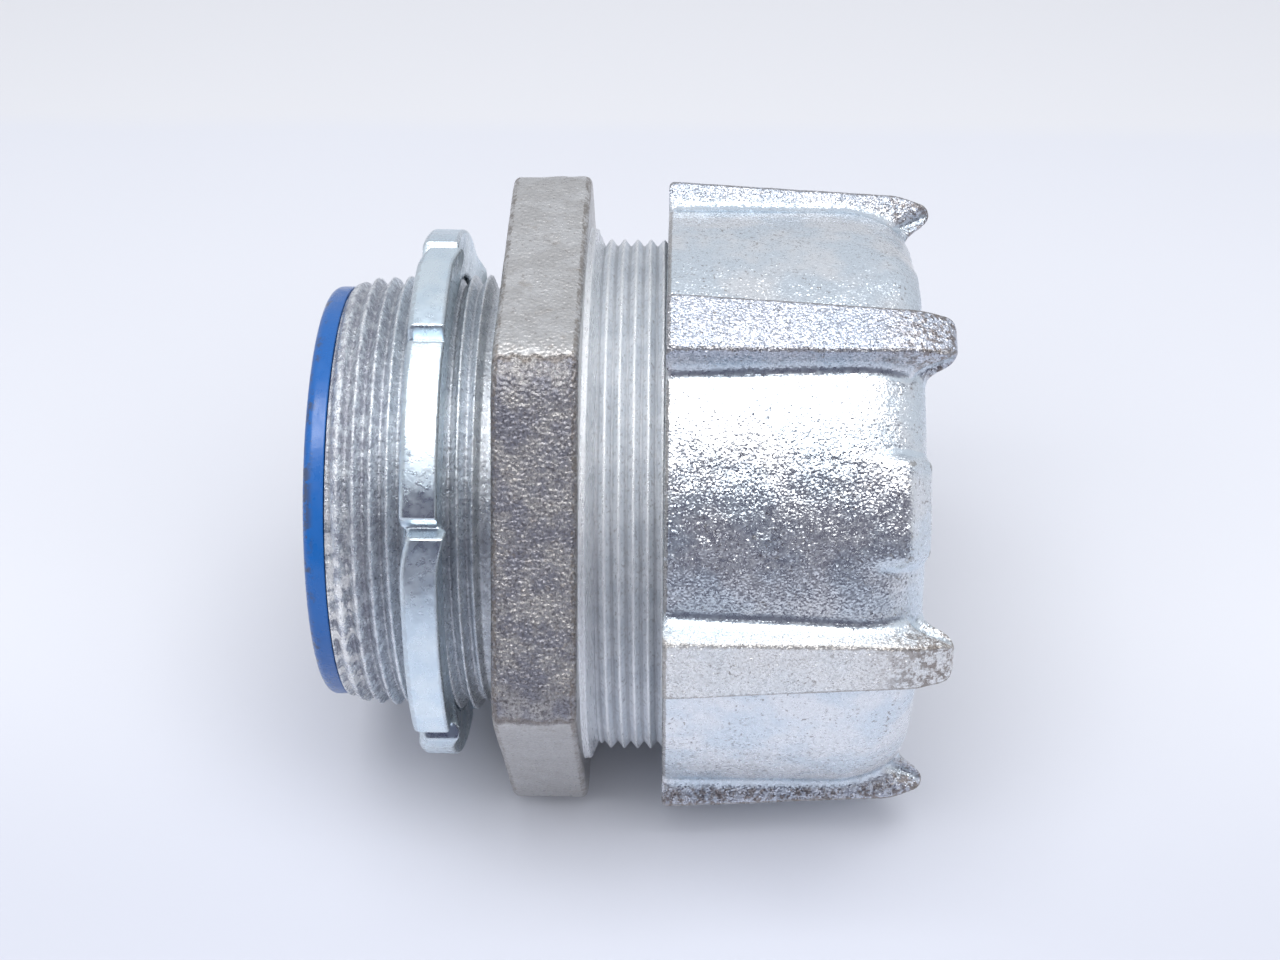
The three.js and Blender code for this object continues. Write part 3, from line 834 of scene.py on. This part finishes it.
def hexagon_casting():
    """Rough grey zinc casting; the face toward the front is speckled, brown-edged and painted
    darker as painted shade.
    """
    s = Surface("hexagon_casting")
    grain = s.noise(0.34, 4, rough=0.7)
    worn = s.add(s.times(s.attribute("bend"), 0.5), s.noise(0.5, 4, rough=0.75))
    edge = s.span(worn, 0.92, 1.06)
    pits = s.span(s.noise(0.75, 3), 0.62, 0.69)
    clouds = s.span(s.noise(4.0, 5, rough=0.7), 0.40, 0.60)
    # Painted shade: the face toward the camera, and the rounding above it, are painted darker,
    # which also dims the highlight there. The speckle and brown clouds on it are the casting's own.
    height = s.add(s.reach(HEX_FLAT_ANGLE + 2 * TURN / 6), s.times(s.noise(1.3, 3), 1.4))
    front_shade_mask = s.span(height, HEX_FLAT - 1.6, HEX_FLAT - 0.9)
    border = s.times(front_shade_mask, s.span(height, HEX_FLAT - 0.5, HEX_FLAT - 0.9))
    clean_face = s.mix(clouds, (0.64, 0.635, 0.63), (0.55, 0.54, 0.53))
    # Painted shade: below the axis the faces are painted darker, against the bright table they
    # reflect.
    under = s.span(s.axis("Z"), 0.0, -3 * MM)
    plain_face = s.mix(s.times(under, 0.7), clean_face, (0.40, 0.39, 0.385))
    front_shade_colour = s.mix(clouds, (0.45, 0.435, 0.425), (0.28, 0.28, 0.315))
    speckled = s.mix(s.times(s.span(grain, 0.50, 0.60), 0.8), front_shade_colour, (0.14, 0.13, 0.14))
    grey = s.mix(front_shade_mask, plain_face, speckled)
    pitted = s.mix(s.times(pits, 0.5), grey, (0.30, 0.27, 0.25))
    stained = s.mix(s.times(s.math("MAXIMUM", edge, border), 0.65), pitted, (0.20, 0.17, 0.145))
    patch = s.span(s.noise(3.4, 4, rough=0.6), 0.60, 0.72)
    colour = s.mix(s.times(patch, 0.30), stained, (0.36, 0.30, 0.24))
    smoother = s.span(s.noise(0.5, 3), 0.3, 0.7, 0.26, 0.46)
    rough = s.add(smoother, s.times(front_shade_mask, -0.10))
    relief = s.bump(s.noise(2.4, 3), 0.22)
    bumps = s.add(s.times(grain, 0.6), s.times(s.cells(0.5), -0.8))
    relief = s.bump(s.times(bumps, s.span(front_shade_mask, 0.0, 1.0, 0.55, 1.0)), 0.26, relief)
    return s.finish(colour, rough, 0.93, relief)


def hub_casting():
    """Cut thread in cast zinc: bright crests, grey roots and crusts near its open end."""
    s = Surface("hub_casting")
    height = s.attribute("height")
    streaks = s.noise(0.8, 4, s.stretched(1.0, 0.4, 0.4), 0.65)
    crest = s.span(s.add(height, s.times(streaks, 1.1)), 1.40, 1.66)
    root = s.span(height, 0.0, 0.5, 1.0, 0.0)
    patches = s.span(s.noise(2.6, 5, rough=0.7), 0.42, 0.58)
    film = s.mix(patches, (0.76, 0.80, 0.84), (0.60, 0.64, 0.69))
    # Darker towards the thread roots.
    darker_roots = s.mix(s.times(root, 0.45), film, (0.38, 0.39, 0.42))
    specks = s.span(s.noise(0.42, 4, rough=0.75), 0.55, 0.63)
    speckled = s.mix(s.times(specks, 0.5), darker_roots, (0.24, 0.23, 0.235))
    near_end = s.span(s.axis("X"), SHOULDER_M - 12 * MM, SHOULDER_M - 18 * MM)
    crust = s.times(near_end, s.span(s.noise(1.3, 5, rough=0.7), 0.46, 0.54))
    crusted = s.mix(s.times(crust, 0.75), speckled, (0.27, 0.28, 0.34))
    at_rim = s.span(s.axis("X"), SHOULDER_M - 16.5 * MM, SHOULDER_M - 20.5 * MM)
    low = s.span(s.axis("Z"), 24 * MM, -6 * MM, 0.15, 1.0)
    chalk = s.times(s.times(at_rim, low), s.span(s.noise(1.9, 5, rough=0.75), 0.47, 0.53))
    chalky = s.mix(s.times(chalk, 0.85), crusted, (0.86, 0.86, 0.86))
    # The streaky crests are painted near white: partly rubbed bare metal, partly a painted
    # highlight for the glints on them.
    colour = s.mix(s.times(crest, 0.8), chalky, (0.88, 0.90, 0.92))
    rough = s.span(s.noise(0.6, 3), 0.3, 0.7, 0.22, 0.40)
    metal = s.span(s.add(chalk, s.times(crust, 0.35)), 0.0, 1.0, 0.94, 0.2)
    relief = s.bump(s.noise(0.40, 4, s.stretched(1.0, 0.55, 0.55), 0.65), 0.22)
    relief = s.bump(s.times(near_end, s.noise(0.7, 4, rough=0.65)), 0.30, relief)
    return s.finish(colour, rough, metal, relief)


def machined_zinc():
    """Turned collar and gland thread: fine rings, a bluish film and speckled crests."""
    s = Surface("machined_zinc")
    height = s.attribute("height")
    rings = s.noise(0.16, 2, s.stretched(1.0, 0.05, 0.05))
    clouds = s.span(s.noise(3.0, 4, rough=0.65), 0.4, 0.6)
    film = s.mix(clouds, (0.84, 0.87, 0.90), (0.72, 0.76, 0.80))
    root = s.span(height, 0.0, 0.42, 1.0, 0.0)
    # Darker towards the thread roots.
    darker_roots = s.mix(s.times(root, 0.65), film, (0.29, 0.30, 0.33))
    nicks = s.span(s.noise(0.36, 4, s.stretched(1.0, 0.7, 0.7), 0.75), 0.53, 0.63)
    nicked = s.mix(s.times(nicks, 0.6), darker_roots, (0.34, 0.33, 0.33))
    # Painted highlight: the thread crests are painted near white, standing in for the glints along
    # them.
    crest = s.span(height, 0.62, 0.9)
    colour = s.mix(s.times(crest, 0.6), nicked, (0.92, 0.93, 0.94))
    rough = s.add(s.span(rings, 0.3, 0.7, 0.36, 0.50), s.times(crest, -0.12))
    relief = s.bump(rings, 0.02)
    relief = s.bump(s.noise(0.34, 5, rough=0.75), 0.15, relief)
    return s.finish(colour, rough, 0.90, relief)


def bright_casting():
    """The gland nut: bright zinc plating over an orange-peel casting."""
    s = Surface("bright_casting")
    bend = s.attribute("bend")
    top = s.attribute("top")
    fine = s.noise(0.34, 4, rough=0.75)
    film = s.mix(s.span(s.noise(7.0, 3), 0.38, 0.62), (0.82, 0.84, 0.86), (0.71, 0.78, 0.84))
    clouded = s.mix(s.span(fine, 0.42, 0.64, 0.0, 0.18), film, (0.62, 0.63, 0.66))
    level = s.axis("Z")
    # Wing tops get a tint of their own as a finish. Its split by height is painted reflection:
    # whiter and less metallic in the band facing the camera, bluish grey outside it.
    painted_front_band = s.times(s.span(level, 24 * MM, 14 * MM), s.span(level, -22 * MM, -12 * MM))
    face = s.mix(painted_front_band, (0.56, 0.60, 0.72), (0.80, 0.80, 0.80))
    topped = s.mix(s.times(top, 0.6), clouded, face)
    pits = s.span(s.noise(0.62, 4, rough=0.7), 0.59, 0.64)
    spotted = s.span(s.noise(6.0, 3), 0.40, 0.60, 0.30, 0.90)
    pitted = s.mix(s.times(pits, spotted), topped, (0.30, 0.28, 0.27))
    # Brown patches on the raised parts toward the wing ends and on the lowest wings, more than
    # about 22 mm below the axis.
    tips = s.span(s.axis("X"), CAP_DOME_M, CAP_DOME_M + 11 * MM)
    under = s.span(level, -22 * MM, -30 * MM)
    raised = s.span(top, 0.05, 0.4)
    brown_patch_mask = s.times(raised, s.math("MAXIMUM", tips, under))
    brown = s.times(brown_patch_mask, s.span(s.noise(0.9, 5, rough=0.75), 0.46, 0.56))
    brown_patched = s.mix(s.times(brown, 0.85), pitted, (0.23, 0.19, 0.17))
    wear = s.add(s.times(bend, 0.5), s.noise(0.5, 4, rough=0.75))
    worn = s.mix(s.times(s.span(wear, 0.98, 1.12), 0.6), brown_patched, (0.28, 0.25, 0.22))
    hollow = s.span(bend, -0.1, -0.45)
    colour = s.mix(s.times(hollow, 0.5), worn, (0.62, 0.72, 0.80))
    rough = s.span(s.noise(0.8, 2), 0.3, 0.7, 0.24, 0.34)
    strength = s.add(s.span(hollow, 0.0, 1.0, 0.55, 0.15), s.times(raised, 0.55))
    peel = s.add(s.times(fine, 0.5), s.times(s.cells(0.33), -0.7))
    relief = s.facets(0.24, s.times(strength, 0.36), s.bump(s.times(peel, strength), 0.15))
    metal = s.add(s.times(s.times(top, painted_front_band), -0.25), 0.95)
    return s.finish(colour, rough, metal, relief)


def bright_inside():
    s = Surface("bright_inside")
    colour = s.mix(s.noise(4.0, 3), (0.62, 0.65, 0.68), (0.50, 0.53, 0.56))
    return s.finish(colour, 0.38, 0.92, s.bump(s.noise(0.6, 2), 0.05))


def body_inside():
    s = Surface("body_inside")
    colour = s.mix(s.noise(4.0, 3), (0.52, 0.53, 0.54), (0.38, 0.38, 0.38))
    return s.finish(colour, 0.45, 0.9, s.bump(s.noise(0.6, 2), 0.06))


def smooth_zinc():
    """The locknut: smooth bluish plating on stamped steel, dimpled here and there."""
    s = Surface("smooth_zinc")
    film = s.mix(s.span(s.noise(6.0, 3), 0.4, 0.6), (0.76, 0.85, 0.90), (0.68, 0.79, 0.87))
    wear = s.add(s.times(s.attribute("bend"), 0.5), s.noise(0.8, 3))
    colour = s.mix(s.times(s.span(wear, 0.85, 1.1), 0.35), film, (0.40, 0.42, 0.44))
    dimpled = s.span(s.noise(5.5, 2), 0.42, 0.60, 0.1, 1.0)
    rough = s.span(s.noise(1.0, 3), 0.3, 0.7, 0.24, 0.36)
    drawn = s.noise(0.25, 3, s.stretched(1.0, 0.12, 0.12))
    relief = s.bump(drawn, 0.02, s.bump(s.noise(2.2, 2), 0.08))
    relief = s.bump(s.times(s.noise(0.26, 4, rough=0.7), dimpled), 0.055, relief)
    return s.finish(colour, rough, 0.96, relief)


def throat_plastic():
    """Blue moulded plastic with scuffs and a little dirt on its outer edge."""
    s = Surface("throat_plastic")
    blue = s.mix(s.noise(5.0, 3), (0.006, 0.085, 0.31), (0.009, 0.105, 0.36))
    front = s.span(s.axis("X"), SHOULDER_M - 23.2 * MM, SHOULDER_M - 24.4 * MM)
    toward_smudge, rim = s.reach(math.radians(143)), LINER_HIGH.z
    smudge = s.span(toward_smudge, rim - 0.8, rim - 0.2, 0.0, 0.12)
    spots = s.add(s.noise(1.6, 5, rough=0.75), smudge)
    dirt = s.times(front, s.span(spots, 0.55, 0.61))
    colour = s.mix(s.times(dirt, 0.75), blue, (0.05, 0.05, 0.06))
    rough = s.span(s.noise(1.5, 4), 0.35, 0.65, 0.24, 0.38)
    return s.finish(colour, rough, 0.0, s.bump(s.noise(0.7, 3), 0.02), coat=0.2)


def ring_plastic():
    s = Surface("ring_plastic")
    colour = s.mix(s.noise(3.0, 3), (0.020, 0.021, 0.023), (0.034, 0.035, 0.037))
    return s.finish(colour, 0.48, 0.0, s.bump(s.noise(0.5, 2), 0.03))


def pressed_steel():
    s = Surface("pressed_steel")
    drawn = s.noise(0.4, 2, s.stretched(0.2, 1.0, 1.0))
    colour = s.mix(drawn, (0.60, 0.62, 0.64), (0.72, 0.74, 0.76))
    return s.finish(colour, s.span(drawn, 0.3, 0.7, 0.24, 0.34), 1.0, s.bump(drawn, 0.01))


def finish_piece(obj, materials, body, node):
    for material in materials:
        obj.data.materials.append(material)
    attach(obj, body)
    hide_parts(node)


# ---------- table, light and camera ----------

CAMERA_ELEVATION = math.radians(39.5)
CAMERA_DISTANCE = 0.2959
CAMERA_X = SHOULDER_M + 22.67 * MM
CAMERA_YAW, CAMERA_PITCH, CAMERA_ROLL = -0.0175, 0.0064, 0.0130
CAMERA_LENS = 59.6


def add_camera():
    toward = np.array([0, math.cos(CAMERA_ELEVATION), -math.sin(CAMERA_ELEVATION)])
    up = np.array([0, math.sin(CAMERA_ELEVATION), math.cos(CAMERA_ELEVATION)])
    across = np.array([1.0, 0, 0])
    place = np.array([CAMERA_X, 0, 0]) - toward * CAMERA_DISTANCE
    forward = toward * math.cos(CAMERA_YAW) + across * math.sin(CAMERA_YAW)
    right = across * math.cos(CAMERA_YAW) - toward * math.sin(CAMERA_YAW)
    tilted = forward * math.cos(CAMERA_PITCH) + up * math.sin(CAMERA_PITCH)
    head = up * math.cos(CAMERA_PITCH) - forward * math.sin(CAMERA_PITCH)
    turned_right = right * math.cos(CAMERA_ROLL) + head * math.sin(CAMERA_ROLL)
    turned_up = head * math.cos(CAMERA_ROLL) - right * math.sin(CAMERA_ROLL)
    data = bpy.data.cameras.new("camera")
    data.lens = CAMERA_LENS
    camera = bpy.data.objects.new("camera", data)
    axes = np.column_stack([turned_right, turned_up, -tilted])
    camera.matrix_world = Matrix.Translation(Vector(place)) @ Matrix(axes).to_4x4()
    bpy.context.scene.collection.objects.link(camera)
    bpy.context.scene.camera = camera


TABLE_COLOUR = (0.700, 0.718, 0.775)
TABLE_CLOUD = (0.685, 0.702, 0.758)
TABLE_NEAR_SHADE = (0.570, 0.590, 0.660)
TABLE_FAR = (0.715, 0.725, 0.760)


def table_top():
    """A pale table, greyer beyond the line where its far strip begins, and darker toward the front
    with painted shade.
    """
    s = Surface("table_top")
    # Painted shade: the table is darkened toward the front, standing in for the light falling off
    # there.
    near = s.span(s.axis("Y"), 30 * MM, -50 * MM)
    far = s.span(s.add(s.axis("Y"), s.times(s.noise(60.0), 4 * MM)), 172 * MM, 182 * MM)
    middle = s.mix(s.noise(90.0), TABLE_COLOUR, TABLE_CLOUD)
    return s.finish(s.mix(far, s.mix(near, middle, TABLE_NEAR_SHADE), TABLE_FAR), 0.5, 0.0)


def add_floor():
    low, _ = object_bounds()
    size = 2.0
    mesh = bpy.data.meshes.new("table")
    signs = [(-1, -1), (1, -1), (1, 1), (-1, 1)]
    corners = [(x * size, y * size, low.z) for x, y in signs]
    mesh.from_pydata(corners, [], [(0, 1, 2, 3)])
    floor = bpy.data.objects.new("table", mesh)
    floor.data.materials.append(table_top())
    bpy.context.scene.collection.objects.link(floor)


# Each panel light: its name, place, size, power and whether it shows in reflections.
PANELS = [
    ("softbox", (0.0, -0.155, 0.6), (0.55, 0.31), 2.8, True),
    ("overhead", (0.0, -0.85, 1.15), (3.0, 0.7), 17.0, False),
]


def add_panel(name, place, size, power, reflected):
    data = bpy.data.lights.new(name, "AREA")
    data.shape = "RECTANGLE"
    data.energy = power
    data.size, data.size_y = size
    lamp = bpy.data.objects.new(name, data)
    lamp.location = place
    lamp.rotation_euler = (-lamp.location).to_track_quat("-Z", "Y").to_euler()
    lamp.visible_glossy = reflected
    bpy.context.scene.collection.objects.link(lamp)


ROOM_DARK = (0.062, 0.060, 0.112)
ROOM_PALE = (0.79, 0.82, 0.88)
ROOM_ABOVE = (0.80, 0.81, 0.86)
ROOM_LOW = (0.12, 0.125, 0.145)


def add_world():
    """Pale walls and ceiling all round, with the darker room behind the camera.

    The dark part only shows in reflections: matt surfaces are lit mostly from above.
    """
    world = bpy.data.worlds.new("room")
    bpy.context.scene.world = world
    world.use_nodes = True
    nodes = Nodes(world.node_tree)
    direction = nodes.node("SeparateXYZ")
    nodes.feed(direction.inputs[0], nodes.node("TexCoord").outputs["Generated"])
    away, up = direction.outputs["Y"], direction.outputs["Z"]
    reflected = nodes.mix(nodes.span(away, -0.64, -0.40), ROOM_DARK, ROOM_PALE)
    overhead = nodes.add(up, nodes.times(away, -0.70))
    lighting = nodes.mix(nodes.span(overhead, 0.35, 1.20), ROOM_LOW, ROOM_ABOVE)
    matt = nodes.node("LightPath").outputs["Is Diffuse Ray"]
    background = world.node_tree.nodes["Background"]
    nodes.feed(background.inputs["Color"], nodes.mix(matt, reflected, lighting))
    background.inputs["Strength"].default_value = 0.9


build_body([hub_casting(), hexagon_casting(), machined_zinc(), body_inside()])
build_cap([bright_casting(), bright_inside()])
build_locknut([smooth_zinc()])
build_throat([throat_plastic()])
build_ring([ring_plastic()])
build_ferrule([pressed_steel()])
add_floor()
for panel in PANELS:
    add_panel(*panel)
add_world()
add_camera()
bpy.context.scene.view_settings.view_transform = "Standard"
